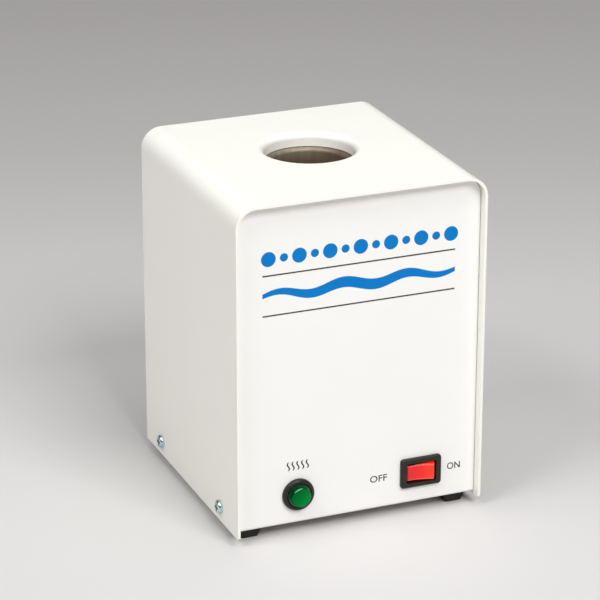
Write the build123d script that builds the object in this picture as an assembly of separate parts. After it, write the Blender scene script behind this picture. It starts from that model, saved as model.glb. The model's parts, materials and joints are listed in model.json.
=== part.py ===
"""Glass bead sterilizer: a folded sheet cover over a chassis that carries a heated bead well.

Millimetres. Origin on the floor under the middle of the cover, +Z up, front panel facing -Y.
"""
from build123d import *
from math import cos, radians, sqrt
import os

os.makedirs("parts", exist_ok=True)

# Clearances
SHEET_GAP = 0.25
SLEEVE_GAP = 0.3
HOLE_GAP = 0.2
PIN_GAP = 0.05
THREAD_GAP = 0.05

# Outer cover, one sheet folded over the top and both sides
cover_width = 125.0
cover_depth = 127.0
cover_height = 163.6
cover_sheet = 1.3
cover_bend = 10.0
cover_tip_radius = 1.5
cover_drop = 1.5

# Opening in the top of the cover, with its edge drawn inwards
opening_radius = 22.0
opening_roll = 3.0
opening_lip_depth = 6.7

# Chassis, one sheet folded up at the front and the rear
panel_recess = 4.7
chassis_sheet = 1.2
chassis_bend = 1.6
lip_setback = 6.8
lip_height = 12.5
lip_relief = 2.0

# Vent slots in the rear panel and in the base
vent_length = 26.0
vent_width = 3.0
vent_pitch = 7.0
vent_spacing = 36.0
rear_vent_rows = 6
rear_vent_drop = 26.3
base_vent_rows = 3
base_vent_spacing = 70.0

# Cover screws, two on each side
cover_screw_setback = 23.0
cover_screw_rise = 6.0
cover_screw_radius = 1.9
cover_screw_length = 9.0
cover_screw_head_radius = 3.4
cover_screw_head_height = 2.1
cover_nut_thickness = 3.2
cover_nut_flats = 7.0

# Square tapered rubber feet, stuck under the base
foot_height = 5.9
foot_top_width = 12.7
foot_bottom_width = 9.0
foot_corner = 1.8
foot_edge_round = 0.7
foot_inset_x = 8.1
foot_inset_y = 9.5

# Bead well, a drawn cup with a flanged rim
well_x = 2.0
well_y = 6.5
well_radius = 20.0
well_wall = 1.2
well_rim_bend = 2.0
well_depth = 92.0
well_corner = 6.0
well_flange_radius = 30.0
well_drop = 0.3

# Band heater clamped round the well
heater_thickness = 3.2
heater_height = 58.0
heater_rise = 16.0
heater_split = 6.0
heater_lug_reach = 11.0
heater_lug_height = 14.0
heater_lug_sheet = 1.5
clamp_screw_radius = 1.9
clamp_screw_head_radius = 3.4
clamp_screw_head_height = 2.4
clamp_screw_tail = 1.5
clamp_nut_thickness = 3.0
clamp_nut_flats = 7.0
heater_pad_height = 1.0
heater_pad_margin = 0.4
heater_terminal_offset = 7.6
heater_terminal_rise = 9.0

# Insulation round and under the well
sleeve_radius = 40.0
sleeve_slot_width = 22.0
base_disc_thickness = 8.0

# Carrier tray on four hexagonal standoffs
carrier_sheet = 1.2
carrier_rim_height = 9.0
carrier_bend = 2.2
standoff_circle_radius = 31.0
standoff_flats = 7.0
standoff_screw_radius = 1.9
standoff_screw_head_radius = 3.5
standoff_screw_head_height = 2.2
standoff_screw_reach = 8.0

# Thermostat under the well
thermostat_radius = 8.0
thermostat_body_height = 9.0
thermostat_ear_sheet = 1.0
thermostat_ear_spacing = 24.0
thermostat_ear_radius = 3.6
thermostat_screw_radius = 1.45
thermostat_screw_head_radius = 2.6
thermostat_screw_head_height = 1.8
thermostat_screw_tip = 0.9

# Blade terminals on the switch, the thermostat, the heater and the pilot lamp
blade_width = 4.8
blade_sheet = 0.8
blade_length = 7.5

# Power switch
switch_inset = 28.45
switch_rise = 15.9
switch_bezel_width = 21.0
switch_bezel_height = 15.0
switch_bezel_corner = 1.6
switch_bezel_proud = 1.9
switch_bezel_bevel = 0.9
switch_opening_width = 15.4
switch_opening_height = 10.4
switch_body_width = 19.0
switch_body_height = 12.6
switch_body_depth = 12.5
switch_cavity_depth = 9.0
switch_latch_proud = 0.7
switch_latch_length = 4.0
switch_latch_height = 7.0
switch_terminal_spacing = 6.4

# Rocker of the switch
rocker_side_gap = 0.5
rocker_end_gap = 0.25
rocker_pivot_depth = 3.3
rocker_crown = 3.9
rocker_dish = 0.9
rocker_face_taper = 0.8
rocker_belly = 3.0
rocker_pin_radius = 1.2
rocker_pin_reach = 0.8
rocker_tilt = 10.0
rocker_edge_round = 0.8

# Pilot lamp
lamp_inset = 30.45
lamp_rise = 14.9
lamp_bezel_radius = 7.95
lamp_bezel_edge = 0.9
lamp_bezel_proud = 2.2
lamp_barrel_radius = 6.2
lamp_barrel_wall = 0.9
lamp_barrel_length = 21.0
lamp_lens_proud = 4.7
lamp_lens_face_radius = 4.85
lamp_lens_base_radius = 6.0
lamp_lens_round = 0.7
lamp_lens_stem = 6.0
lamp_nut_thickness = 2.6
lamp_nut_flats = 16.0
lamp_terminal_spacing = 6.0

# Power inlet in the rear panel
inlet_x = 0.0
inlet_rise = 20.1
inlet_flange_width = 32.0
inlet_flange_height = 24.0
inlet_flange_corner = 2.5
inlet_ear_height = 10.0
inlet_flange_sheet = 3.0
inlet_body_width = 27.4
inlet_body_height = 19.8
inlet_body_depth = 19.0
inlet_cavity_width = 24.2
inlet_cavity_height = 16.6
inlet_cavity_depth = 16.0
inlet_cavity_chamfer = 4.6
inlet_pin_width = 2.0
inlet_pin_height = 4.0
inlet_pin_recess = 3.0
inlet_pin_spacing = 14.0
inlet_earth_offset = 4.0
inlet_tail_length = 8.0
inlet_screw_spacing = 40.0
inlet_screw_radius = 1.45
inlet_screw_head_radius = 2.8
inlet_screw_head_height = 1.5
inlet_screw_length = 9.0
inlet_nut_thickness = 2.4
inlet_nut_flats = 5.5

# Earth stud on the base
earth_inset_x = 16.95
earth_inset_y = 28.8
earth_stud_radius = 1.9
earth_stud_head_radius = 3.6
earth_stud_head_height = 1.6
earth_stud_length = 12.0
earth_nut_thickness = 3.2
earth_nut_flats = 7.0

# Places worked out from the sizes above
cover_bottom = foot_height - cover_drop
cover_top = cover_bottom + cover_height
panel_width = cover_width - 2 * cover_sheet - 2 * SHEET_GAP
panel_top = cover_top - cover_sheet - SHEET_GAP
panel_face = -cover_depth / 2 + panel_recess
rear_face = -panel_face
panel_side = panel_width / 2
lip_length = 2 * (rear_face - lip_setback)
rear_vent_top = panel_top - rear_vent_drop
foot_x = panel_side - foot_inset_x
foot_y = rear_face - foot_inset_y
switch_x = panel_side - switch_inset
switch_z = foot_height + switch_rise
lamp_x = lamp_inset - panel_side
lamp_z = foot_height + lamp_rise
inlet_z = foot_height + inlet_rise
earth_x = earth_inset_x - panel_side
earth_y = rear_face - earth_inset_y
base_top = foot_height + chassis_sheet
flange_top = cover_top - opening_lip_depth - well_drop
flange_bottom = flange_top - well_wall
well_floor = flange_top - well_depth
well_underside = well_floor - well_wall
well_outer_radius = well_radius + well_wall
carrier_top = well_underside - base_disc_thickness
carrier_bottom = carrier_top - carrier_sheet
heater_radius = well_outer_radius + PIN_GAP
heater_outer_radius = heater_radius + heater_thickness
heater_bottom = well_floor + heater_rise
lug_middle = heater_bottom + heater_height / 2
cover_screw_z = cover_bottom + cover_screw_rise + cover_drop
cover_screw_y = cover_depth / 2 - cover_screw_setback
pivot_y = panel_face - switch_bezel_proud + rocker_pivot_depth
well_at = Pos(well_x, well_y, 0)


def rod(radius, bottom, top):
    """Cylinder on the Z axis between two heights."""
    return Pos(0, 0, bottom) * Cylinder(radius, top - bottom, align=(Align.CENTER, Align.CENTER, Align.MIN))


def ring(inner, outer, bottom, top):
    """Tube on the Z axis between two heights."""
    return rod(outer, bottom, top) - rod(inner, bottom - 1, top + 1)


def slab(x_range, y_range, z_range):
    """Plate between two limits along each axis."""
    size = [high - low for low, high in (x_range, y_range, z_range)]
    return Pos(x_range[0], y_range[0], z_range[0]) * Box(*size, align=(Align.MIN, Align.MIN, Align.MIN))


def turned(points, rounds):
    """Solid of revolution about Z from (radius, height) points; rounds gives a radius to some points."""
    outline = make_face(Polyline(*points, close=True))
    for point, radius in rounds:
        corner = outline.vertices().sort_by_distance((*point, 0))[0]
        outline = fillet(corner, radius)
    return revolve(Plane.XZ * outline, Axis.Z)


def hexagon(flats, bottom, top):
    """Hexagonal bar on the Z axis, given its width across flats."""
    outline = RegularPolygon(flats / 2, 6, major_radius=False)
    return Pos(0, 0, bottom) * extrude(outline, top - bottom)


def nut(flats, thickness, hole_radius):
    """Hexagonal nut that stands on the XY plane, with its corners eased."""
    across_corners = flats / cos(radians(30))
    eased = rod(across_corners / 2, 0, thickness)
    eased = chamfer(eased.edges(), thickness * 0.15)
    return (hexagon(flats, 0, thickness) & eased) - rod(hole_radius, -1, thickness + 1)


def pan_screw(shank_radius, shank_length, head_radius, head_height):
    """Pan head screw: shank from z=0 up, head below z=0 with a cross recess."""
    head = rod(head_radius, -head_height, 0)
    head = fillet(head.edges().group_by(Axis.Z)[0], head_height * 0.6)
    for turn in (0, 90):
        slot = Box(head_radius * 1.2, head_radius * 0.28, head_height)
        head -= Pos(0, 0, -head_height) * Rot(0, 0, turn) * slot
    shank = rod(shank_radius, 0, shank_length)
    shank = chamfer(shank.edges().group_by(Axis.Z)[-1], shank_radius * 0.3)
    return head + shank


def copies(shape, places):
    """The same piece at several places, as one group of separate solids."""
    return Compound(children=[place * shape for place in places])


def four_corners(x, y):
    """The four places at +-x and +-y."""
    return [Pos(side * x, end * y, 0) for side in (-1, 1) for end in (-1, 1)]


def blade(length):
    """Flat terminal that hangs down from the XY plane, its width along X."""
    tab = slab((-blade_width / 2, blade_width / 2), (-blade_sheet / 2, blade_sheet / 2), (-length, 0))
    tip = tab.edges().filter_by(Axis.Y).group_by(Axis.Z)[0]
    tab = chamfer(tip, blade_width * 0.2)
    return tab - Pos(0, 0, -length * 0.6) * Rot(90, 0, 0) * Cylinder(blade_width * 0.16, 2 * blade_sheet)


def upright_profile(width, bottom, top, corner):
    """Face in the XZ plane with square feet and round shoulders."""
    outline = Pos(0, (bottom + top) / 2) * Rectangle(width, top - bottom)
    shoulders = outline.vertices().group_by(Axis.Y)[-1]
    return Plane.XZ * fillet(shoulders, corner)


def trough_profile(half_depth, bottom, top, bend):
    """Face in the YZ plane with round lower corners."""
    outline = Pos(0, (bottom + top) / 2) * Rectangle(2 * half_depth, top - bottom)
    lower = outline.vertices().group_by(Axis.Y)[0]
    return Plane.YZ * fillet(lower, bend)


def facing_front(x, z, proud=0.0):
    """Place on the front panel whose +Z points out of the panel."""
    return Pos(x, panel_face - proud, z) * Rot(90, 0, 0)


def facing_rear(x, z, proud=0.0):
    """Place on the rear panel whose +Z points out of the panel."""
    return Pos(x, rear_face + proud, z) * Rot(0, 0, 180) * Rot(90, 0, 0)


def cover_screw_places():
    """Cover screw axes at the cover's sides, with +Z pointing inwards."""
    places = []
    for side in (-1, 1):
        for end in (-1, 1):
            here = Pos(side * cover_width / 2, end * cover_screw_y, cover_screw_z)
            places.append(here * Rot(0, -90 * side, 0))
    return places


def standoff_places():
    """Axes of the four standoffs, on a circle about the well."""
    reach = standoff_circle_radius * sqrt(0.5)
    return [well_at * place for place in four_corners(reach, reach)]


def thermostat_screw_places():
    """Axes of the two thermostat screws."""
    return [well_at * Pos(side * thermostat_ear_spacing / 2, 0, 0) for side in (-1, 1)]


def inlet_screw_places(proud):
    """Axes of the two inlet screws, with +Z pointing inwards."""
    places = []
    for side in (-1, 1):
        x = inlet_x + side * inlet_screw_spacing / 2
        places.append(facing_rear(x, inlet_z, proud) * Rot(180, 0, 0))
    return places


def make_cover():
    """Inverted U of sheet with the drawn opening in its top."""
    outer = upright_profile(cover_width, cover_bottom, cover_top, cover_bend)
    inner_width = cover_width - 2 * cover_sheet
    inner = upright_profile(inner_width, cover_bottom - 1, cover_top - cover_sheet, cover_bend - cover_sheet)
    cover = extrude(outer - inner, cover_depth / 2, both=True)
    tips = cover.edges().filter_by(Axis.X).group_by(Axis.Z)[0]
    cover = fillet(tips, cover_tip_radius)
    cut_radius = opening_radius + opening_roll + cover_sheet
    cover -= well_at * rod(cut_radius, cover_top - 2 * cover_sheet, cover_top + 1)
    cover += well_at * opening_lip(cut_radius)
    hole = rod(cover_screw_radius + HOLE_GAP, -1, 2 * cover_sheet)
    for place in cover_screw_places():
        cover -= place * hole
    return cover


def opening_lip(outer_radius):
    """Drawn edge that turns down in a quarter round and ends in a short straight lip."""
    lip_bottom = cover_top - opening_lip_depth
    underside = cover_top - cover_sheet
    outside = opening_radius + cover_sheet
    points = [
        (outer_radius, cover_top),
        (opening_radius, cover_top),
        (opening_radius, lip_bottom),
        (outside, lip_bottom),
        (outside, underside),
        (outer_radius, underside),
    ]
    rounds = [
        ((opening_radius, cover_top), opening_roll),
        ((outside, underside), opening_roll - cover_sheet),
    ]
    return turned(points, rounds)


def make_chassis():
    """Front panel, base and rear panel folded from one sheet, with low side lips."""
    outer = trough_profile(rear_face, foot_height, panel_top, chassis_bend)
    inner_bend = chassis_bend - chassis_sheet
    inner = trough_profile(rear_face - chassis_sheet, base_top, panel_top + 1, inner_bend)
    chassis = extrude(outer - inner, panel_width / 2, both=True)
    shoulder = cover_bend - cover_sheet - SHEET_GAP
    chassis &= extrude(upright_profile(panel_width, 0, panel_top, shoulder), cover_depth, both=True)
    lip = side_lip()
    relief = Box(4 * chassis_bend, lip_relief, 4 * chassis_bend)
    for turn in (0, 180):
        chassis = chassis - Rot(0, 0, turn) * side_cut()
        chassis = chassis + Rot(0, 0, turn) * lip
        for end in (-1, 1):
            relief_y = end * (lip_length + lip_relief) / 2
            chassis -= Rot(0, 0, turn) * Pos(panel_width / 2, relief_y, foot_height) * relief
    for hole in chassis_holes():
        chassis -= hole
    return chassis


def side_cut():
    """Strip of the flat base that the folded lip takes the place of."""
    edge = panel_width / 2
    half_length = lip_length / 2
    start = edge - chassis_bend - chassis_sheet
    return slab((start, edge + 1), (-half_length, half_length), (0, base_top + chassis_bend))


def side_lip():
    """Lip folded up from the right side of the base, with a round bend."""
    edge = panel_width / 2
    start = edge - chassis_bend - chassis_sheet
    top = foot_height + lip_height
    points = [
        (start, foot_height),
        (edge, foot_height),
        (edge, top),
        (edge - chassis_sheet, top),
        (edge - chassis_sheet, base_top),
        (start, base_top),
    ]
    outline = make_face(Polyline(*points, close=True))
    inner_corner = outline.vertices().sort_by_distance((edge - chassis_sheet, base_top, 0))[0]
    outline = fillet(inner_corner, chassis_bend - chassis_sheet)
    outer_corner = outline.vertices().sort_by_distance((edge, foot_height, 0))[0]
    outline = fillet(outer_corner, chassis_bend)
    return extrude(Plane.XZ * outline, lip_length / 2, both=True)


def chassis_holes():
    """Cutters for every hole in the folded sheet."""
    through = 2 * chassis_sheet
    holes = []
    switch_hole = Box(switch_body_width + 2 * HOLE_GAP, switch_body_height + 2 * HOLE_GAP, 2 * through)
    holes.append(facing_front(switch_x, switch_z) * switch_hole)
    holes.append(facing_front(lamp_x, lamp_z) * rod(lamp_barrel_radius + HOLE_GAP, -through, through))
    inlet_hole = Box(inlet_body_width + 2 * HOLE_GAP, inlet_body_height + 2 * HOLE_GAP, 2 * through)
    holes.append(facing_rear(inlet_x, inlet_z) * inlet_hole)
    for place in inlet_screw_places(0):
        holes.append(place * rod(inlet_screw_radius + HOLE_GAP, -through, through))
    for place in standoff_places():
        holes.append(place * rod(standoff_screw_radius + HOLE_GAP, foot_height - 1, base_top + 1))
    holes.append(Pos(earth_x, earth_y) * rod(earth_stud_radius + HOLE_GAP, foot_height - 1, base_top + 1))
    for place in cover_screw_places():
        holes.append(place * rod(cover_screw_radius + THREAD_GAP, cover_sheet, cover_sheet + 2 * through))
    return holes + vent_cutters()


def vent_cutters():
    """Round-ended slots near the top of the rear panel and in the middle of the base."""
    slot = extrude(SlotOverall(vent_length, vent_width), 2 * chassis_sheet, both=True)
    cutters = []
    for side in (-1, 1):
        for row in range(rear_vent_rows):
            height = rear_vent_top - row * vent_pitch
            cutters.append(facing_rear(side * vent_spacing / 2, height) * slot)
        for row in range(base_vent_rows):
            offset = (row - (base_vent_rows - 1) / 2) * vent_pitch
            place = Pos(well_x + side * base_vent_spacing / 2 + offset, well_y, foot_height)
            cutters.append(place * Rot(0, 0, 90) * slot)
    return cutters


def make_cover_screws():
    """Pan head screws that hold the cover to the side lips."""
    screw = pan_screw(
        cover_screw_radius, cover_screw_length, cover_screw_head_radius, cover_screw_head_height
    )
    return copies(screw, cover_screw_places())


def make_cover_nuts():
    """Press nuts on the inner faces of the side lips."""
    inside = cover_sheet + SHEET_GAP + chassis_sheet
    piece = nut(cover_nut_flats, cover_nut_thickness, cover_screw_radius + THREAD_GAP)
    return copies(Pos(0, 0, inside) * Rot(0, 0, 30) * piece, cover_screw_places())


def make_foot():
    """Tapered square foot with rounded corners and a rounded lower edge."""
    lower = RectangleRounded(foot_bottom_width, foot_bottom_width, foot_corner)
    upper = RectangleRounded(foot_top_width, foot_top_width, foot_corner)
    foot = loft([lower, Pos(0, 0, foot_height) * upper])
    return fillet(foot.edges().group_by(Axis.Z)[0], foot_edge_round)


def make_well():
    """Drawn cup with a round bottom corner and a radiused, flanged rim."""
    points = [
        (0, well_underside),
        (well_outer_radius, well_underside),
        (well_outer_radius, flange_bottom),
        (well_flange_radius, flange_bottom),
        (well_flange_radius, flange_top),
        (well_radius, flange_top),
        (well_radius, well_floor),
        (0, well_floor),
    ]
    rounds = [
        ((well_outer_radius, well_underside), well_corner + well_wall),
        ((well_outer_radius, flange_bottom), well_rim_bend - well_wall),
        ((well_radius, flange_top), well_rim_bend),
        ((well_radius, well_floor), well_corner),
    ]
    return well_at * turned(points, rounds)


def make_well_gasket():
    """Fibre gasket between the well's flange and the underside of the cover."""
    inner = opening_radius + opening_roll + SHEET_GAP
    return well_at * ring(inner, well_flange_radius, flange_top, cover_top - cover_sheet)


def make_band_heater():
    """Split band with two lugs for the clamp screw and two pads for the terminals."""
    top = heater_bottom + heater_height
    band = rod(heater_outer_radius, heater_bottom, top)
    half_split = heater_split / 2
    reach = heater_outer_radius + heater_lug_reach
    low = lug_middle - heater_lug_height / 2
    for side in (-1, 1):
        inner_face = side * half_split
        outer_face = side * (half_split + heater_lug_sheet)
        lug = slab(sorted((inner_face, outer_face)), (0, reach), (low, low + heater_lug_height))
        outer_edges = lug.edges().filter_by(Axis.X).group_by(Axis.Y)[-1]
        band += fillet(outer_edges, heater_lug_height * 0.3)
    half_pad = blade_width / 2 + heater_pad_margin
    for place in heater_terminal_places():
        pad = slab((-half_pad, half_pad), (-half_pad, half_pad), (0, heater_radius))
        band += place * Rot(90, 0, 0) * pad
    band -= rod(heater_radius, heater_bottom - 1, top + 1)
    band -= slab((-half_split, half_split), (0, 2 * heater_outer_radius), (heater_bottom - 1, top + 1))
    hole = rod(clamp_screw_radius + HOLE_GAP, -heater_split, 2 * heater_split)
    return well_at * (band - clamp_screw_place() * hole)


def heater_terminal_places():
    """Middles of the two terminal pads' faces, in the well's own frame."""
    face = heater_outer_radius + heater_pad_height
    height = heater_bottom + heater_terminal_rise
    return [Pos(side * heater_terminal_offset, face, height) for side in (-1, 1)]


def make_heater_terminals():
    """Two blades that stand out from the heater, one on each side of its lugs."""
    places = [well_at * place * Rot(90, 0, 0) for place in heater_terminal_places()]
    return copies(blade(blade_length), places)


def clamp_screw_place():
    """Axis of the clamp screw in the well's own frame, from the outer face of one lug along +X."""
    start = -heater_split / 2 - heater_lug_sheet
    across = heater_outer_radius + heater_lug_reach * 0.6
    return Pos(start, across, lug_middle) * Rot(0, 90, 0)


def make_clamp_screw():
    """Screw that draws the heater's two lugs together."""
    length = heater_split + 2 * heater_lug_sheet + clamp_nut_thickness + clamp_screw_tail
    screw = pan_screw(clamp_screw_radius, length, clamp_screw_head_radius, clamp_screw_head_height)
    return well_at * clamp_screw_place() * screw


def make_clamp_nut():
    """Nut of the clamp screw, against the far lug."""
    piece = nut(clamp_nut_flats, clamp_nut_thickness, clamp_screw_radius + THREAD_GAP)
    return well_at * clamp_screw_place() * Pos(0, 0, heater_split + 2 * heater_lug_sheet) * piece


def make_insulation_sleeve():
    """Thick fibre sleeve round the heater, slit where the lugs stand out."""
    sleeve = ring(heater_outer_radius + SLEEVE_GAP, sleeve_radius, well_underside, flange_bottom)
    half_slot = sleeve_slot_width / 2
    slot = slab((-half_slot, half_slot), (0, sleeve_radius + 1), (well_underside - 1, flange_bottom + 1))
    return well_at * (sleeve - slot)


def make_insulation_disc():
    """Fibre disc under the well, with pockets over the screws below it."""
    disc = rod(sleeve_radius, carrier_top, well_underside)
    disc = fillet(disc.edges().group_by(Axis.Z)[0], carrier_bend)
    disc = well_at * (disc - rod(thermostat_radius + HOLE_GAP, carrier_top - 1, well_underside + 1))
    head_top = carrier_top + standoff_screw_head_height + HOLE_GAP
    for place in standoff_places():
        disc -= place * rod(standoff_screw_head_radius + HOLE_GAP, carrier_top - 1, head_top)
    tip_top = carrier_top + thermostat_screw_tip + HOLE_GAP
    for place in thermostat_screw_places():
        disc -= place * rod(thermostat_screw_radius + HOLE_GAP, carrier_top - 1, tip_top)
    return disc


def make_carrier_tray():
    """Dished tray that carries the well and its insulation."""
    hole_radius = thermostat_radius + HOLE_GAP
    inside = sleeve_radius + SHEET_GAP
    outside = inside + carrier_sheet
    rim_top = carrier_bottom + carrier_rim_height
    points = [
        (hole_radius, carrier_bottom),
        (outside, carrier_bottom),
        (outside, rim_top),
        (inside, rim_top),
        (inside, carrier_top),
        (hole_radius, carrier_top),
    ]
    rounds = [
        ((outside, carrier_bottom), carrier_bend),
        ((inside, carrier_top), carrier_bend - carrier_sheet),
    ]
    tray = well_at * turned(points, rounds)
    for place in standoff_places():
        tray -= place * rod(standoff_screw_radius + HOLE_GAP, carrier_bottom - 1, carrier_top + 1)
    for place in thermostat_screw_places():
        tray -= place * rod(thermostat_screw_radius + THREAD_GAP, carrier_bottom - 1, carrier_top + 1)
    return tray


def make_standoffs():
    """Hexagonal pillars between the base and the tray, tapped at both ends."""
    bar = hexagon(standoff_flats, base_top, carrier_bottom)
    tapped = standoff_screw_radius + THREAD_GAP
    bar -= rod(tapped, base_top - 1, base_top + standoff_screw_reach + HOLE_GAP)
    bar -= rod(tapped, carrier_bottom - standoff_screw_reach - HOLE_GAP, carrier_bottom + 1)
    return copies(bar, standoff_places())


def make_standoff_screws():
    """Screws into both ends of each standoff."""
    length = chassis_sheet + standoff_screw_reach
    screw = pan_screw(
        standoff_screw_radius, length, standoff_screw_head_radius, standoff_screw_head_height
    )
    lower = [place * Pos(0, 0, foot_height) for place in standoff_places()]
    upper = [place * Pos(0, 0, carrier_top) * Rot(180, 0, 0) for place in standoff_places()]
    return copies(screw, lower + upper)


def make_thermostat_cap():
    """Metal cap that touches the bottom of the well, with two fixing ears."""
    ear_bottom = carrier_bottom - thermostat_ear_sheet
    cap = rod(thermostat_radius, ear_bottom, well_underside)
    cap = fillet(cap.edges().group_by(Axis.Z)[-1], thermostat_ear_sheet)
    ears = SlotCenterToCenter(thermostat_ear_spacing, 2 * thermostat_ear_radius)
    cap += Pos(0, 0, ear_bottom) * extrude(ears, thermostat_ear_sheet)
    cap = well_at * cap
    for place in thermostat_screw_places():
        cap -= place * rod(thermostat_screw_radius + HOLE_GAP, ear_bottom - 1, carrier_bottom + 1)
    return cap


def make_thermostat_body():
    """Moulded body of the thermostat, below its ears."""
    top = carrier_bottom - thermostat_ear_sheet
    body = rod(thermostat_radius, top - thermostat_body_height, top)
    body = chamfer(body.edges().group_by(Axis.Z)[0], thermostat_ear_sheet)
    return well_at * body


def make_thermostat_terminals():
    """Two blades below the thermostat."""
    bottom = carrier_bottom - thermostat_ear_sheet - thermostat_body_height
    offset = thermostat_radius * 0.5
    places = [well_at * Pos(0, side * offset, bottom) for side in (-1, 1)]
    return copies(blade(blade_length), places)


def make_thermostat_screws():
    """Screws that hold the thermostat up against the tray."""
    length = thermostat_ear_sheet + carrier_sheet + thermostat_screw_tip
    screw = pan_screw(
        thermostat_screw_radius, length, thermostat_screw_head_radius, thermostat_screw_head_height
    )
    head = Pos(0, 0, carrier_bottom - thermostat_ear_sheet)
    return copies(head * screw, thermostat_screw_places())


def make_switch_housing():
    """Bezel and body of the rocker switch, open at the front, with snap-in latches."""
    outline = RectangleRounded(switch_bezel_width, switch_bezel_height, switch_bezel_corner)
    bezel = extrude(outline, switch_bezel_proud)
    bezel = fillet(bezel.edges().group_by(Axis.Z)[-1], switch_bezel_bevel)
    body = extrude(Rectangle(switch_body_width, switch_body_height), -switch_body_depth)
    housing = bezel + body
    opening = RectangleRounded(switch_opening_width, switch_opening_height, rocker_edge_round)
    cavity = extrude(opening, switch_cavity_depth + 2 * switch_bezel_proud)
    cavity = Pos(0, 0, -switch_cavity_depth) * cavity
    housing -= cavity
    housing -= Pos(0, 0, switch_bezel_proud - rocker_pivot_depth) * pin_hole()
    for turn in (0, 180):
        housing += Rot(0, 0, turn) * switch_latch()
    return facing_front(switch_x, switch_z) * housing


def pin_hole():
    """Cross bore for the rocker's pins, along the switch's short side."""
    return Rot(90, 0, 0) * Cylinder(rocker_pin_radius + PIN_GAP, 2 * switch_body_height)


def switch_latch():
    """Wedge at one end of the body that snaps behind the panel."""
    end = switch_body_width / 2
    start = -chassis_sheet - PIN_GAP
    points = [(end, start), (end + switch_latch_proud, start), (end, start - switch_latch_length)]
    wedge = make_face(Polyline(*points, close=True))
    return extrude(Plane.XZ * wedge, switch_latch_height / 2, both=True)


def make_rocker():
    """Dished rocker with tapered sides and two pins, its left end pressed in."""
    end_radius = switch_opening_width / 2 - rocker_end_gap
    crown_reach = sqrt(end_radius**2 - rocker_crown**2)
    belly_reach = sqrt(end_radius**2 - rocker_belly**2)
    dish = ThreePointArc(
        (-crown_reach, -rocker_crown), (0, rocker_dish - rocker_crown), (crown_reach, -rocker_crown)
    )
    right_end = ThreePointArc((crown_reach, -rocker_crown), (end_radius, 0), (belly_reach, rocker_belly))
    underside = Line((belly_reach, rocker_belly), (-belly_reach, rocker_belly))
    left_end = ThreePointArc((-belly_reach, rocker_belly), (-end_radius, 0), (-crown_reach, -rocker_crown))
    outline = make_face(Wire([dish, right_end, underside, left_end]))
    height = switch_opening_height - 2 * rocker_side_gap
    rocker = extrude(outline, height / 2, both=True) & make_rocker_sides(end_radius, height)
    front_edges = rocker.edges().filter_by_position(Axis.Y, -end_radius, -rocker_edge_round)
    rocker = fillet(front_edges, rocker_edge_round)
    pin_end = switch_opening_height / 2 + rocker_pin_reach
    rocker += rod(rocker_pin_radius, -pin_end, pin_end)
    return Pos(switch_x, pivot_y, switch_z) * Rot(0, 0, -rocker_tilt) * rocker


def make_rocker_sides(end_radius, height):
    """Block whose upper and lower sides close in towards the front of the rocker."""
    width = 2 * end_radius + 1
    crown_height = height - 2 * rocker_face_taper
    straight = Pos(0, end_radius / 2, 0) * Box(width, end_radius, height)
    front = Plane.XZ.offset(rocker_crown) * Rectangle(width, crown_height)
    return straight + loft([Plane.XZ * Rectangle(width, height), front])


def make_switch_terminals():
    """Three blades at the back of the switch."""
    places = []
    for step in (-1, 0, 1):
        offset = step * switch_terminal_spacing
        here = facing_front(switch_x + offset, switch_z, -switch_body_depth)
        places.append(here * Rot(0, 0, 90))
    return copies(blade(blade_length), places)


def make_lamp_bezel():
    """Domed bezel and threaded barrel of the pilot lamp, one moulding."""
    seat = lamp_bezel_edge
    mouth = lamp_lens_base_radius + HOLE_GAP
    bore = lamp_barrel_radius - lamp_barrel_wall
    points = [
        (bore, seat),
        (mouth, seat),
        (mouth, lamp_bezel_proud),
        (lamp_bezel_radius, lamp_bezel_proud),
        (lamp_bezel_radius, 0),
        (lamp_barrel_radius, 0),
        (lamp_barrel_radius, -lamp_barrel_length),
        (bore, -lamp_barrel_length),
    ]
    dome = ((lamp_bezel_radius, lamp_bezel_proud), lamp_bezel_proud - lamp_bezel_edge)
    return facing_front(lamp_x, lamp_z) * turned(points, [dome])


def make_lamp_lens():
    """Tapered lens with a flat face, seated in the bezel by its stem."""
    stem = lamp_barrel_radius - lamp_barrel_wall - PIN_GAP
    points = [
        (0, -lamp_lens_stem),
        (stem, -lamp_lens_stem),
        (stem, lamp_bezel_edge),
        (lamp_lens_base_radius, lamp_bezel_edge),
        (lamp_lens_base_radius, lamp_bezel_proud),
        (lamp_lens_face_radius, lamp_lens_proud),
        (0, lamp_lens_proud),
    ]
    face_edge = ((lamp_lens_face_radius, lamp_lens_proud), lamp_lens_round)
    return facing_front(lamp_x, lamp_z) * turned(points, [face_edge])


def make_lamp_nut():
    """Nut that holds the lamp from behind the front panel."""
    piece = nut(lamp_nut_flats, lamp_nut_thickness, lamp_barrel_radius + THREAD_GAP)
    return facing_front(lamp_x, lamp_z, -chassis_sheet) * Rot(180, 0, 0) * piece


def make_lamp_insert():
    """Insulated capsule with the lamp's bulb, pushed into the barrel behind the lens."""
    radius = lamp_barrel_radius - lamp_barrel_wall - PIN_GAP
    front = -lamp_lens_stem - SHEET_GAP
    capsule = rod(radius, -lamp_barrel_length, front)
    return facing_front(lamp_x, lamp_z) * capsule


def make_lamp_terminals():
    """Two blades at the back of the pilot lamp."""
    places = []
    for side in (-1, 1):
        x = lamp_x + side * lamp_terminal_spacing / 2
        places.append(facing_front(x, lamp_z, -lamp_barrel_length) * Rot(0, 0, 90))
    return copies(blade(blade_length), places)


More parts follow.
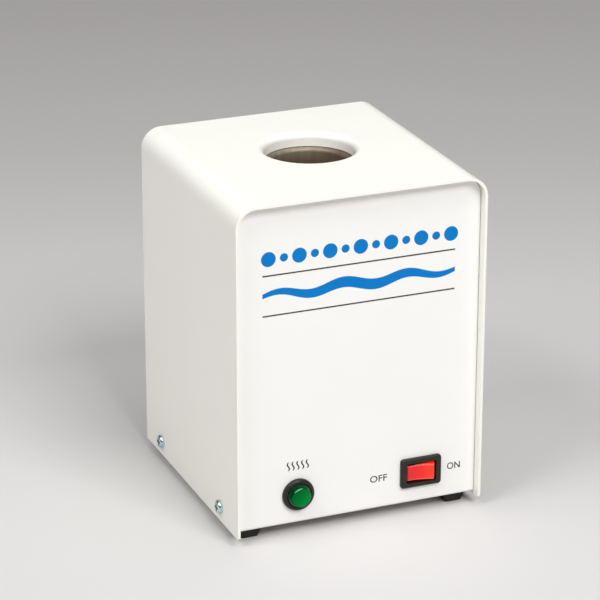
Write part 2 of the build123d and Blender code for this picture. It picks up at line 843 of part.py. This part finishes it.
def make_inlet_housing():
    """Screw-mounted three-pole inlet with its plug cavity."""
    ears = Rectangle(inlet_screw_spacing, inlet_ear_height) + SlotCenterToCenter(
        inlet_screw_spacing, inlet_ear_height
    )
    middle = RectangleRounded(inlet_flange_width, inlet_flange_height, inlet_flange_corner)
    housing = extrude(ears + middle, inlet_flange_sheet)
    housing += extrude(Rectangle(inlet_body_width, inlet_body_height), -inlet_body_depth)
    mouth = Rectangle(inlet_cavity_width, inlet_cavity_height)
    mouth = chamfer(mouth.vertices().group_by(Axis.Y)[-1], inlet_cavity_chamfer)
    floor = inlet_flange_sheet - inlet_cavity_depth
    housing -= Pos(0, 0, floor) * extrude(mouth, 2 * inlet_cavity_depth)
    for x, y in inlet_pin_offsets():
        size = (inlet_pin_width + 2 * PIN_GAP, inlet_pin_height + 2 * PIN_GAP, 3 * inlet_body_depth)
        housing -= Pos(x, y, 0) * Box(*size)
    for side in (-1, 1):
        place = Pos(side * inlet_screw_spacing / 2, 0, 0)
        housing -= place * rod(inlet_screw_radius + HOLE_GAP, -1, inlet_flange_sheet + 1)
    return facing_rear(inlet_x, inlet_z) * housing


def inlet_pin_offsets():
    """Live, neutral and earth pins about the middle of the inlet."""
    drop = inlet_earth_offset / 2
    half = inlet_pin_spacing / 2
    return [(-half, -drop), (half, -drop), (0, drop)]


def make_inlet_pins():
    """Three flat pins with tails behind the inlet."""
    tip = inlet_flange_sheet - inlet_pin_recess
    half_width = inlet_pin_width / 2
    half_height = inlet_pin_height / 2
    pin = slab((-half_width, half_width), (-half_height, half_height), (-inlet_body_depth, tip))
    pin = chamfer(pin.edges().group_by(Axis.Z)[-1], inlet_pin_width * 0.2)
    tail = Pos(0, 0, -inlet_body_depth) * Rot(0, 0, 90) * blade(inlet_tail_length)
    pin += tail
    places = [facing_rear(inlet_x, inlet_z) * Pos(x, y, 0) for x, y in inlet_pin_offsets()]
    return copies(pin, places)


def make_inlet_screws():
    """Screws through the inlet's flange."""
    screw = pan_screw(
        inlet_screw_radius, inlet_screw_length, inlet_screw_head_radius, inlet_screw_head_height
    )
    return copies(screw, inlet_screw_places(inlet_flange_sheet))


def make_inlet_nuts():
    """Nuts of the inlet screws, behind the rear panel."""
    piece = nut(inlet_nut_flats, inlet_nut_thickness, inlet_screw_radius + THREAD_GAP)
    return copies(piece, inlet_screw_places(-chassis_sheet))


def make_earth_stud():
    """Stud for the earth lead, up through the base."""
    stud = pan_screw(earth_stud_radius, earth_stud_length, earth_stud_head_radius, earth_stud_head_height)
    return Pos(earth_x, earth_y, foot_height) * stud


def make_earth_nut():
    """Nut that clamps the earth stud to the base."""
    piece = nut(earth_nut_flats, earth_nut_thickness, earth_stud_radius + THREAD_GAP)
    return Pos(earth_x, earth_y, base_top) * piece


def all_nodes():
    """Every piece of the sterilizer by its name."""
    nodes = {
        "cover": make_cover(),
        "chassis": make_chassis(),
        "cover_screws": make_cover_screws(),
        "cover_nuts": make_cover_nuts(),
        "well": make_well(),
        "well_gasket": make_well_gasket(),
        "band_heater": make_band_heater(),
        "heater_clamp_screw": make_clamp_screw(),
        "heater_clamp_nut": make_clamp_nut(),
        "heater_terminals": make_heater_terminals(),
        "insulation_sleeve": make_insulation_sleeve(),
        "insulation_disc": make_insulation_disc(),
        "carrier_tray": make_carrier_tray(),
        "standoffs": make_standoffs(),
        "standoff_screws": make_standoff_screws(),
        "thermostat_cap": make_thermostat_cap(),
        "thermostat_body": make_thermostat_body(),
        "thermostat_terminals": make_thermostat_terminals(),
        "thermostat_screws": make_thermostat_screws(),
        "switch_housing": make_switch_housing(),
        "rocker": make_rocker(),
        "switch_terminals": make_switch_terminals(),
        "lamp_bezel": make_lamp_bezel(),
        "lamp_lens": make_lamp_lens(),
        "lamp_nut": make_lamp_nut(),
        "lamp_insert": make_lamp_insert(),
        "lamp_terminals": make_lamp_terminals(),
        "inlet_housing": make_inlet_housing(),
        "inlet_pins": make_inlet_pins(),
        "inlet_screws": make_inlet_screws(),
        "inlet_nuts": make_inlet_nuts(),
        "earth_stud": make_earth_stud(),
        "earth_nut": make_earth_nut(),
    }
    foot_names = ["foot_front_left", "foot_rear_left", "foot_front_right", "foot_rear_right"]
    for name, place in zip(foot_names, four_corners(foot_x, foot_y)):
        nodes[name] = place * make_foot()
    return nodes


for node_name, node_shape in all_nodes().items():
    export_step(node_shape, f"parts/{node_name}.step")
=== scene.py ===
import json
import math

import bmesh
import bpy
from mathutils import Matrix, Vector


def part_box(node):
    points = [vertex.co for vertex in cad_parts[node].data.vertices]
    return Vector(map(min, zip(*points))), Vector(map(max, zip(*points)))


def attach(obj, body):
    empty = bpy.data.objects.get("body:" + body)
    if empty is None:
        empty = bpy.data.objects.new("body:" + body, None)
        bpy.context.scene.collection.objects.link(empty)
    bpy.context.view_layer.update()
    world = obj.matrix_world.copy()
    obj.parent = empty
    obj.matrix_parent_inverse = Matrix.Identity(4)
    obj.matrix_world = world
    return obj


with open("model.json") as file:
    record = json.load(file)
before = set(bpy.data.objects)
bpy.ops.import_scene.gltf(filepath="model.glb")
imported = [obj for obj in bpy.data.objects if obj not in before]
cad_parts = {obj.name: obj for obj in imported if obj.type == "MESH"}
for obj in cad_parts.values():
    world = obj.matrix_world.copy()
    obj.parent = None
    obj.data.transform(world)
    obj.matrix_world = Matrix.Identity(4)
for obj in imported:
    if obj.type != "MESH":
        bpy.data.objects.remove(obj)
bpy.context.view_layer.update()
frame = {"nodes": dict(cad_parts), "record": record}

MM = 0.001

# Places on the object, read from the frame
panel_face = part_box("chassis")[0].y / MM
rocker_low, rocker_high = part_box("rocker")
lens_low, lens_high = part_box("lamp_lens")
well_low, well_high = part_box("well")

# Rocker, in millimetres: half the height of its front face, and where the painted shade on its sides and
# the painted highlight along its edges start and end
ROCKER_CROWN_HALF = 3.9
ROCKER_SIDE_SHADE_START = ROCKER_CROWN_HALF - 0.15
ROCKER_SIDE_SHADE_END = ROCKER_CROWN_HALF + 0.05
ROCKER_EDGE_HIGHLIGHT_START = ROCKER_CROWN_HALF - 0.9
ROCKER_EDGE_HIGHLIGHT_END = ROCKER_CROWN_HALF + 0.1

# Lens, in shares of its radius: where the face turns into the side wall with painted shade, and where
# the painted glint lies; then the ways of the painted light and of the glint
LENS_FACE_END = 0.74
LENS_WALL_START = 0.84
GLINT_INNER = 0.64
GLINT_OUTER = 0.84
GLINT_FADE = 0.67
GLINT_FULL = 0.71
PAINTED_LIGHT_WAY = (0.75, 0.0, -0.66)
GLINT_WAY = (-0.35, 0.0, 0.94)

# Well: where the painted highlight at its mouth starts and is full, in shares of its height, and
# millimetres back from its middle
HIGHLIGHT_MOUTH_START = 0.93
HIGHLIGHT_MOUTH_FULL = 0.975
HIGHLIGHT_BACK_START = 10
HIGHLIGHT_BACK_FULL = 19

# Print on the front panel, in millimetres
PRINT_GAP = 0.01
PRINT_THICKNESS = 0.04
PRINT_LEFT = -48.0
PRINT_RIGHT = 48.5
BEAD_COUNT = 13
BEAD_START = -45.0
BEAD_SPACING = 7.6
BEAD_HEIGHT = 140.4
LARGE_BEAD_RADIUS = 3.6
SMALL_BEAD_RADIUS = 2.0
RULE_HEIGHTS = (132.4, 112.8)
RULE_WIDTH = 0.7
WAVE_HEIGHT = 122.6
WAVE_SWING = 1.6
WAVE_TURNS = 3.0
WAVE_WIDTHS = (2.2, 5.4)
MARK_X = -30.5
MARK_BOTTOM = 33.4
MARK_TOP = 37.8
MARK_OFFSETS = (-4.8, -2.4, 0.0, 2.4, 4.8)
MARK_SWING = 0.5
MARK_TURNS = 1.0
MARK_WIDTHS = (0.6, 0.7)
MARK_STEPS = 16
OFF_BOX = (6.5, 15.3, 19.8, 23.2)
ON_BOX = (46.7, 53.5, 19.9, 23.4)
LETTER_CURVE_STEPS = 4
LETTER_EXTRUDE = 0.01
LETTER_SWELL = 0.006

# Floor, in metres along the view: where its painted shading starts and ends
FLOOR_SIZE = 12.0
FLOOR_NEAR = -0.2
FLOOR_FAR = 0.9

# Lamps: name, place and target in metres, width and height, power in watts
LAMPS = (
    ("overhead", (0.1, -0.3, 1.65), (0, 0, 0.1), (1.2, 1.0), 8.0),
    ("spark", (-0.9, -0.6, 1.5), (0, 0, 0.1), (0.3, 0.3), 3.0),
    ("front", (0.2, -1.45, 1.5), (0, 0, 0.09), (0.9, 0.7), 26.0),
    ("left", (-1.35, -0.3, 1.45), (0, 0, 0.09), (0.9, 0.9), 13.8),
)
WORLD_STRENGTH = 0.165

# Camera: a long lens a little to the left of the front and above it
CAMERA_POSITION = Vector((-487.43, -1173.23, 591.21)) * MM
CAMERA_AZIMUTH = math.radians(-22.338)
CAMERA_ELEVATION = math.radians(21.424)
CAMERA_ROLL = math.radians(0.064)
CAMERA_LENS = 169.9
CAMERA_SENSOR = 36.0
CAMERA_REACH = 50.0


# Colours

def linear(red, green, blue):
    """Linear colour of a display colour given from 0 to 255."""
    values = []
    for channel in (red, green, blue):
        share = channel / 255
        if share <= 0.04045:
            values.append(share / 12.92)
        else:
            values.append(((share + 0.055) / 1.055) ** 2.4)
    return (*values, 1.0)


def grey(level):
    """Linear grey of a display level from 0 to 255."""
    return linear(level, level, level)


def shade(colour, factor):
    """The same colour, darker or lighter."""
    return tuple(min(1.0, channel * factor) for channel in colour[:3]) + (1.0,)


# Nodes that materials are made of

def start_material(name, roughness=0.5, metallic=0.0):
    """A material with its node tree, and the shader's own numbers set on its sockets."""
    material = bpy.data.materials.new(name)
    material.use_nodes = True
    shader = material.node_tree.nodes["Principled BSDF"]
    shader.inputs["Roughness"].default_value = roughness
    shader.inputs["Metallic"].default_value = metallic
    return material, material.node_tree, shader


def feed(tree, value, socket):
    """Join a value's output to a socket, or write a plain value into the socket."""
    if hasattr(value, "is_output"):
        tree.links.new(value, socket)
    else:
        socket.default_value = value


def place_coordinates(tree, stretch=(1, 1, 1)):
    """Coordinates in the piece's own space, stretched along each axis."""
    source = tree.nodes.new("ShaderNodeTexCoord")
    mapping = tree.nodes.new("ShaderNodeMapping")
    mapping.inputs["Scale"].default_value = stretch
    tree.links.new(source.outputs["Object"], mapping.inputs["Vector"])
    return mapping.outputs["Vector"]


def axis_value(tree, axis):
    """One coordinate of the piece, in metres."""
    node = tree.nodes.new("ShaderNodeSeparateXYZ")
    tree.links.new(place_coordinates(tree), node.inputs["Vector"])
    return node.outputs[axis]


def noise(tree, size_mm, detail=3.0, stretch=(1, 1, 1)):
    """Noise whose grain is about size_mm across."""
    node = tree.nodes.new("ShaderNodeTexNoise")
    node.inputs["Scale"].default_value = 1 / (size_mm * MM)
    node.inputs["Detail"].default_value = detail
    tree.links.new(place_coordinates(tree, stretch), node.inputs["Vector"])
    return node.outputs["Fac"]


def ramp(tree, value, stops):
    """Colour from a value, through stops of (place, colour)."""
    node = tree.nodes.new("ShaderNodeValToRGB")
    points = node.color_ramp.elements
    while len(points) < len(stops):
        points.new(0.5)
    for point, (place, colour) in zip(points, stops):
        point.position = place
        point.color = colour
    tree.links.new(value, node.inputs["Fac"])
    return node.outputs["Color"]


def spread(tree, value, low, high, to_low=0.0, to_high=1.0):
    """The value moved from one range to another, held at its ends."""
    node = tree.nodes.new("ShaderNodeMapRange")
    node.inputs["From Min"].default_value = low
    node.inputs["From Max"].default_value = high
    node.inputs["To Min"].default_value = to_low
    node.inputs["To Max"].default_value = to_high
    tree.links.new(value, node.inputs["Value"])
    return node.outputs["Result"]


def multiply(tree, first, second):
    """Product of two values."""
    node = tree.nodes.new("ShaderNodeMath")
    node.operation = "MULTIPLY"
    feed(tree, first, node.inputs[0])
    feed(tree, second, node.inputs[1])
    return node.outputs[0]


def distance_from(tree, value, middle):
    """How far a value is from a middle, on either side."""
    difference = tree.nodes.new("ShaderNodeMath")
    difference.operation = "SUBTRACT"
    feed(tree, value, difference.inputs[0])
    feed(tree, middle, difference.inputs[1])
    size = tree.nodes.new("ShaderNodeMath")
    size.operation = "ABSOLUTE"
    tree.links.new(difference.outputs[0], size.inputs[0])
    return size.outputs[0]


def vector_math(tree, operation, first, second=(0, 0, 0)):
    """A vector calculation; a length or a dot product comes out as a single value."""
    node = tree.nodes.new("ShaderNodeVectorMath")
    node.operation = operation
    feed(tree, first, node.inputs[0])
    feed(tree, second, node.inputs[1])
    return node.outputs["Value" if operation in ("LENGTH", "DOT_PRODUCT") else "Vector"]


def blend_colours(tree, factor, first, second, mode="MIX"):
    """Two colours mixed; each may be a socket or a plain colour."""
    node = tree.nodes.new("ShaderNodeMix")
    node.data_type = "RGBA"
    node.blend_type = mode
    feed(tree, factor, node.inputs[0])
    feed(tree, first, node.inputs[6])
    feed(tree, second, node.inputs[7])
    return node.outputs[2]


def add_bump(tree, shader, height, depth_mm, strength=1.0):
    """Relief from a height."""
    node = tree.nodes.new("ShaderNodeBump")
    node.inputs["Distance"].default_value = depth_mm * MM
    node.inputs["Strength"].default_value = strength
    tree.links.new(height, node.inputs["Height"])
    tree.links.new(node.outputs["Normal"], shader.inputs["Normal"])


def mottled(tree, shader, colour, size_mm, change=0.04, stretch=(1, 1, 1)):
    """Base colour that varies slightly from place to place."""
    value = noise(tree, size_mm, 4.0, stretch)
    stops = [(0.3, shade(colour, 1 - change)), (0.7, shade(colour, 1 + change))]
    tree.links.new(ramp(tree, value, stops), shader.inputs["Base Color"])


def rough_range(tree, shader, size_mm, low, high, stretch=(1, 1, 1)):
    """Roughness that varies between two values."""
    value = noise(tree, size_mm, 3.0, stretch)
    tree.links.new(spread(tree, value, 0.3, 0.7, low, high), shader.inputs["Roughness"])


# Materials

def powder_coat(name, colour):
    """White powder coat with a fine, shallow grain."""
    material, tree, shader = start_material(name)
    mottled(tree, shader, colour, 30.0, 0.006)
    rough_range(tree, shader, 12.0, 0.36, 0.44)
    add_bump(tree, shader, noise(tree, 0.9, 2.0), 0.012, 0.5)
    return material


def plated_metal(name, colour, low=0.28, high=0.42):
    """Plated metal with a faint cloudy finish."""
    material, tree, shader = start_material(name, metallic=1.0)
    mottled(tree, shader, colour, 1.6, 0.12)
    rough_range(tree, shader, 0.8, low, high)
    add_bump(tree, shader, noise(tree, 0.35, 2.0), 0.01, 0.5)
    return material


def brushed_metal(name, colour, stretch):
    """Metal with fine lines along one direction."""
    material, tree, shader = start_material(name, metallic=1.0)
    mottled(tree, shader, colour, 6.0, 0.08, stretch)
    rough_range(tree, shader, 1.0, 0.3, 0.5, stretch)
    add_bump(tree, shader, noise(tree, 0.5, 2.0, stretch), 0.01, 0.5)
    return material


def heat_tinted(name):
    """Well wall browned by heat and darker towards the bottom, with a painted highlight at the back of
    its mouth and faint upright draw marks.
    """
    material, tree, shader = start_material(name, metallic=0.45)
    height = spread(tree, axis_value(tree, "Z"), well_low.z, well_high.z)
    wall = ramp(tree, height, [
        (0.0, linear(58, 44, 36)),
        (0.6, linear(108, 86, 70)),
        (1.0, linear(122, 102, 86)),
    ])
    # Painted highlight: the top of the wall at the back of the mouth is mixed towards pale tan.
    mouth = ramp(tree, height, [(HIGHLIGHT_MOUTH_START, grey(0)), (HIGHLIGHT_MOUTH_FULL, grey(255))])
    middle = (well_low.y + well_high.y) / 2
    highlight_start = middle + HIGHLIGHT_BACK_START * MM
    highlight_full = middle + HIGHLIGHT_BACK_FULL * MM
    back = spread(tree, axis_value(tree, "Y"), highlight_start, highlight_full)
    heat_tint_and_highlight = blend_colours(tree, multiply(tree, mouth, back), wall, linear(150, 140, 122))
    grain = noise(tree, 3.0, 4.0, (1, 1, 0.12))
    marks = ramp(tree, grain, [(0.3, grey(226)), (0.7, grey(255))])
    tree.links.new(blend_colours(tree, 1.0, heat_tint_and_highlight, marks, "MULTIPLY"), shader.inputs["Base Color"])
    rough_range(tree, shader, 2.0, 0.42, 0.6, (1, 1, 0.15))
    add_bump(tree, shader, noise(tree, 0.8, 2.0, (1, 1, 0.1)), 0.01, 0.5)
    return material


def fibre_board(name, colour):
    """Matte board of pressed fibre."""
    material, tree, shader = start_material(name, roughness=0.95)
    mottled(tree, shader, colour, 2.0, 0.1, (1, 1, 2.5))
    add_bump(tree, shader, noise(tree, 0.6, 5.0), 0.15, 0.8)
    return material


def moulded_plastic(name, colour):
    """Black moulding with a fine satin texture."""
    material, tree, shader = start_material(name)
    mottled(tree, shader, colour, 4.0, 0.12)
    rough_range(tree, shader, 2.0, 0.3, 0.42)
    shader.inputs["Specular IOR Level"].default_value = 0.3
    add_bump(tree, shader, noise(tree, 0.3, 2.0), 0.01, 0.5)
    return material


def moulded_rubber(name, colour):
    """Matte rubber, slightly dusty."""
    material, tree, shader = start_material(name)
    mottled(tree, shader, colour, 3.0, 0.25)
    rough_range(tree, shader, 2.0, 0.7, 0.85)
    add_bump(tree, shader, noise(tree, 0.5, 3.0), 0.03, 0.6)
    return material


def clear_red(name):
    """Translucent red plastic with painted light: painted shading across its face, darker and pinker to
    the left and more orange to the right, painted shade on its sides, a painted highlight along its long
    edges, and a faint painted glow.
    """
    material, tree, shader = start_material(name, roughness=0.2)
    across = spread(tree, axis_value(tree, "X"), rocker_low.x, rocker_high.x)
    # Painted shading across the face: darker and pinker to the left, brighter and more orange to the
    # right.
    face = ramp(tree, across, [
        (0.0, linear(206, 22, 26)),
        (0.5, linear(222, 22, 12)),
        (1.0, linear(234, 54, 12)),
    ])
    # Painted shade on the side walls, darkest to the left.
    painted_side_shade = ramp(tree, across, [(0.3, linear(96, 4, 6)), (0.8, linear(225, 40, 12))])
    middle = (rocker_low.z + rocker_high.z) / 2
    distance = distance_from(tree, axis_value(tree, "Z"), middle)
    on_shaded_side = spread(tree, distance, ROCKER_SIDE_SHADE_START * MM, ROCKER_SIDE_SHADE_END * MM)
    # Painted highlight along the long edges of the face.
    near_edge_highlight = spread(tree, distance, ROCKER_EDGE_HIGHLIGHT_START * MM, ROCKER_EDGE_HIGHLIGHT_END * MM)
    painted_edge_highlight = ramp(tree, near_edge_highlight, [
        (0.1, grey(0)),
        (0.45, grey(170)),
        (0.65, grey(170)),
        (0.85, grey(0)),
    ])
    body = blend_colours(tree, on_shaded_side, face, painted_side_shade)
    body = blend_colours(tree, painted_edge_highlight, body, linear(255, 120, 112))
    tree.links.new(body, shader.inputs["Base Color"])
    # Painted glow: the body colour is also given off as faint light, though the rocker is no lamp.
    tree.links.new(body, shader.inputs["Emission Color"])
    shader.inputs["Emission Strength"].default_value = 0.2
    add_bump(tree, shader, noise(tree, 1.5, 2.0), 0.01, 0.3)
    return material


def clear_green(name):
    """Glossy green lens with painted light: a face painted brighter towards the lower right, painted
    shade on its side wall, and a painted glint on the upper edge.
    """
    material, tree, shader = start_material(name, roughness=0.07)
    shader.inputs["Specular IOR Level"].default_value = 0.4
    shader.inputs["Specular Tint"].default_value = linear(40, 255, 130)
    middle = (lens_low + lens_high) / 2
    radius = (lens_high.x - lens_low.x) / 2
    offset = vector_math(tree, "SUBTRACT", place_coordinates(tree), middle)
    flat = vector_math(tree, "MULTIPLY", offset, (1, 0, 1))
    reach = vector_math(tree, "LENGTH", flat)
    # Painted light across the lens, brighter towards the lower right.
    painted_light_slant = vector_math(tree, "DOT_PRODUCT", flat, PAINTED_LIGHT_WAY)
    along = spread(tree, painted_light_slant, -radius, radius)
    face = ramp(tree, along, [
        (0.0, linear(0, 74, 34)),
        (0.5, linear(0, 106, 44)),
        (1.0, linear(2, 140, 58)),
    ])
    # Painted shade on the side wall.
    wall = ramp(tree, along, [(0.0, linear(0, 10, 4)), (1.0, linear(0, 60, 26))])
    on_shaded_wall = spread(tree, reach, LENS_FACE_END * radius, LENS_WALL_START * radius)
    body = blend_colours(tree, on_shaded_wall, face, wall)
    # Painted glint on the upper edge of the face.
    glint_ring = ramp(tree, spread(tree, reach, GLINT_INNER * radius, GLINT_OUTER * radius), [
        (0.15, grey(0)),
        (0.4, grey(230)),
        (0.6, grey(230)),
        (0.85, grey(0)),
    ])
    glint_upward = vector_math(tree, "DOT_PRODUCT", flat, GLINT_WAY)
    glint_arc = spread(tree, glint_upward, GLINT_FADE * radius, GLINT_FULL * radius)
    body = blend_colours(tree, multiply(tree, glint_ring, glint_arc), body, linear(120, 215, 165))
    tree.links.new(body, shader.inputs["Base Color"])
    add_bump(tree, shader, noise(tree, 1.2, 2.0), 0.01, 0.3)
    return material


def printing_ink(name, colour):
    """Screen-printed ink, nearly without gloss."""
    material, tree, shader = start_material(name, roughness=0.5)
    shader.inputs["Specular IOR Level"].default_value = 0.12
    mottled(tree, shader, colour, 5.0, 0.03)
    return material


def dress_solids():
    """Give each solid of the part the material of its slot."""
    slot_materials = {
        "cover_paint": powder_coat("cover_paint", linear(247, 246, 238)),
        "panel_paint": powder_coat("panel_paint", linear(246, 245, 242)),
        "zinc": plated_metal("zinc", linear(202, 222, 226), 0.16, 0.3),
        "bare_steel": brushed_metal("bare_steel", linear(190, 190, 188), (1, 0.06, 1)),
        "well_metal": heat_tinted("well_metal"),
        "heater_sheath": brushed_metal("heater_sheath", linear(178, 172, 162), (1, 1, 0.1)),
        "fibre": fibre_board("fibre", linear(232, 226, 212)),
        "aluminium": brushed_metal("aluminium", linear(214, 214, 216), (1, 1, 0.1)),
        "brass": plated_metal("brass", linear(214, 204, 172)),
        "black_plastic": moulded_plastic("black_plastic", linear(36, 35, 30)),
        "rocker_red": clear_red("rocker_red"),
        "lens_green": clear_green("lens_green"),
        "rubber": moulded_rubber("rubber", linear(28, 29, 27)),
    }
    for subpart in frame["record"]["subparts"]:
        piece = frame["nodes"][subpart["node"]]
        piece.data.materials.clear()
        piece.data.materials.append(slot_materials[subpart["material_slot"]])


# Outlines, as (x, z) points in millimetres

def circle(x, z, radius, sides=28):
    """Outline of a disc."""
    turns = [2 * math.pi * step / sides for step in range(sides)]
    return [(x + radius * math.cos(turn), z + radius * math.sin(turn)) for turn in turns]


def bar(left, right, middle, height):
    """Outline of a straight bar."""
    low = middle - height / 2
    high = middle + height / 2
    return [(left, low), (right, low), (right, high), (left, high)]


def wave(left, right, middle, swing, turns, widths, steps=96):
    """Quads of a wavy ribbon that goes from its end width to its middle width and back."""
    end_width, middle_width = widths
    lower = []
    upper = []
    for step in range(steps + 1):
        share = step / steps
        x = left + (right - left) * share
        z = middle + swing * math.sin(2 * math.pi * turns * share)
        half = (end_width + (middle_width - end_width) * math.sin(math.pi * share)) / 2
        lower.append((x, z - half))
        upper.append((x, z + half))
    return [[lower[i], lower[i + 1], upper[i + 1], upper[i]] for i in range(steps)]


# Printing on the front panel

def add_print(name, mesh, ink):
    """A piece of print that rides on the housing."""
    mesh.materials.clear()
    mesh.materials.append(ink)
    piece = bpy.data.objects.new(name, mesh)
    bpy.context.collection.objects.link(piece)
    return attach(piece, "housing")


def print_shapes(name, outlines, ink):
    """Thin raised print from outlines."""
    shape = bmesh.new()
    near = (panel_face - PRINT_GAP) * MM
    for points in outlines:
        corners = [shape.verts.new((x * MM, near, z * MM)) for x, z in points]
        face = shape.faces.new(corners)
        face.normal_update()
        if face.normal.y > 0:
            face.normal_flip()
        result = bmesh.ops.extrude_face_region(shape, geom=[face])
        moved = [item for item in result["geom"] if isinstance(item, bmesh.types.BMVert)]
        bmesh.ops.translate(shape, verts=moved, vec=(0, -PRINT_THICKNESS * MM, 0))
    bmesh.ops.recalc_face_normals(shape, faces=shape.faces)
    mesh = bpy.data.meshes.new(name)
    shape.to_mesh(mesh)
    shape.free()
    return add_print(name, mesh, ink)


def letter_mesh(name, words):
    """Flat letters with a little thickness, as a mesh."""
    curve = bpy.data.curves.new(name + "_letters", "FONT")
    curve.body = words
    curve.resolution_u = LETTER_CURVE_STEPS
    curve.extrude = LETTER_EXTRUDE
    curve.offset = LETTER_SWELL
    source = bpy.data.objects.new(name + "_letters", curve)
    bpy.context.collection.objects.link(source)
    bpy.context.view_layer.update()
    finished = source.evaluated_get(bpy.context.evaluated_depsgraph_get())
    mesh = bpy.data.meshes.new_from_object(finished)
    bpy.data.objects.remove(source)
    return mesh


def print_letters(name, words, box, ink):
    """Letters fitted into a box (left, right, low, high) on the front panel."""
    left, right, low, high = box
    mesh = letter_mesh(name, words)
    xs = [v.co.x for v in mesh.vertices]
    ys = [v.co.y for v in mesh.vertices]
    zs = [v.co.z for v in mesh.vertices]
    for v in mesh.vertices:
        across = (v.co.x - min(xs)) / (max(xs) - min(xs))
        up = (v.co.y - min(ys)) / (max(ys) - min(ys))
        out = (v.co.z - min(zs)) / (max(zs) - min(zs))
        x = left + (right - left) * across
        z = low + (high - low) * up
        y = panel_face - PRINT_GAP - PRINT_THICKNESS * out
        v.co = Vector((x, y, z)) * MM
    return add_print(name, mesh, ink)


def print_panel():
    """All print on the front panel: beads, a wave between two rules, the lamp's mark, OFF and ON."""
    ink_blue = printing_ink("ink_blue", linear(0, 122, 200))
    ink_grey = printing_ink("ink_grey", linear(72, 72, 74))
    ink_dark = printing_ink("ink_dark", linear(44, 44, 46))
    beads = []
    for step in range(BEAD_COUNT):
        radius = LARGE_BEAD_RADIUS if step % 2 == 0 else SMALL_BEAD_RADIUS
        beads.append(circle(BEAD_START + step * BEAD_SPACING, BEAD_HEIGHT, radius))
    print_shapes("print_beads", beads, ink_blue)
    ribbon = wave(PRINT_LEFT, PRINT_RIGHT, WAVE_HEIGHT, WAVE_SWING, WAVE_TURNS, WAVE_WIDTHS)
    print_shapes("print_wave", ribbon, ink_blue)
    rules = [bar(PRINT_LEFT, PRINT_RIGHT, height, RULE_WIDTH) for height in RULE_HEIGHTS]
    print_shapes("print_rules", rules, ink_grey)
    stroke = wave(MARK_BOTTOM, MARK_TOP, 0.0, MARK_SWING, MARK_TURNS, MARK_WIDTHS, MARK_STEPS)
    strokes = []
    for offset in MARK_OFFSETS:
        for quad in stroke:
            strokes.append([(MARK_X + offset + aside, height) for height, aside in quad])
    print_shapes("print_lamp_mark", strokes, ink_dark)
    print_letters("print_off", "OFF", OFF_BOX, ink_dark)
    print_letters("print_on", "ON", ON_BOX, ink_dark)


# Stage, lamps and camera

def make_floor():
    """Pale floor with painted shading: it darkens away from the camera."""
    bpy.ops.mesh.primitive_plane_add(size=FLOOR_SIZE)
    floor = bpy.context.object
    floor.name = "floor"
    material, tree, shader = start_material("floor", roughness=0.9)
    shader.inputs["Specular IOR Level"].default_value = 0.1
    view = (-math.sin(CAMERA_AZIMUTH), math.cos(CAMERA_AZIMUTH), 0.0)
    # Painted shading: the floor colour darkens along the view.
    depth = vector_math(tree, "DOT_PRODUCT", place_coordinates(tree), view)
    away = spread(tree, depth, FLOOR_NEAR, FLOOR_FAR)
    stops = [
        (0.0, linear(208, 206, 205)),
        (0.09, linear(210, 208, 207)),
        (0.21, linear(210, 208, 207)),
        (0.37, linear(207, 205, 204)),
        (0.64, linear(196, 194, 192)),
        (0.93, linear(196, 193, 192)),
    ]
    tree.links.new(ramp(tree, away, stops), shader.inputs["Base Color"])
    floor.data.materials.append(material)


def make_world():
    """Even white surroundings."""
    world = bpy.data.worlds.new("surroundings")
    world.use_nodes = True
    background = world.node_tree.nodes["Background"]
    background.inputs["Color"].default_value = (1.0, 1.0, 1.0, 1.0)
    background.inputs["Strength"].default_value = WORLD_STRENGTH
    bpy.context.scene.world = world


def make_lamp(name, position, target, size, power):
    """Soft rectangular lamp that points at a target."""
    data = bpy.data.lights.new(name, "AREA")
    data.shape = "RECTANGLE"
    data.size = size[0]
    data.size_y = size[1]
    data.energy = power
    lamp = bpy.data.objects.new(name, data)
    lamp.location = position
    aim = Vector(target) - Vector(position)
    lamp.rotation_euler = aim.to_track_quat("-Z", "Y").to_euler()
    bpy.context.collection.objects.link(lamp)


def make_camera():
    """Camera with its own axes written out."""
    back = Vector((
        math.sin(CAMERA_AZIMUTH) * math.cos(CAMERA_ELEVATION),
        -math.cos(CAMERA_AZIMUTH) * math.cos(CAMERA_ELEVATION),
        math.sin(CAMERA_ELEVATION),
    ))
    level = Vector((0, 0, 1)).cross(back).normalized()
    upright = back.cross(level)
    right = math.cos(CAMERA_ROLL) * level + math.sin(CAMERA_ROLL) * upright
    up = -math.sin(CAMERA_ROLL) * level + math.cos(CAMERA_ROLL) * upright
    data = bpy.data.cameras.new("camera")
    data.lens = CAMERA_LENS
    data.sensor_width = CAMERA_SENSOR
    data.clip_end = CAMERA_REACH
    camera = bpy.data.objects.new("camera", data)
    turn = Matrix((right, up, back)).transposed().to_4x4()
    camera.matrix_world = Matrix.Translation(CAMERA_POSITION) @ turn
    bpy.context.collection.objects.link(camera)
    bpy.context.scene.camera = camera


dress_solids()
print_panel()
make_floor()
make_world()
for lamp in LAMPS:
    make_lamp(*lamp)
make_camera()
bpy.context.scene.view_settings.view_transform = "Standard"
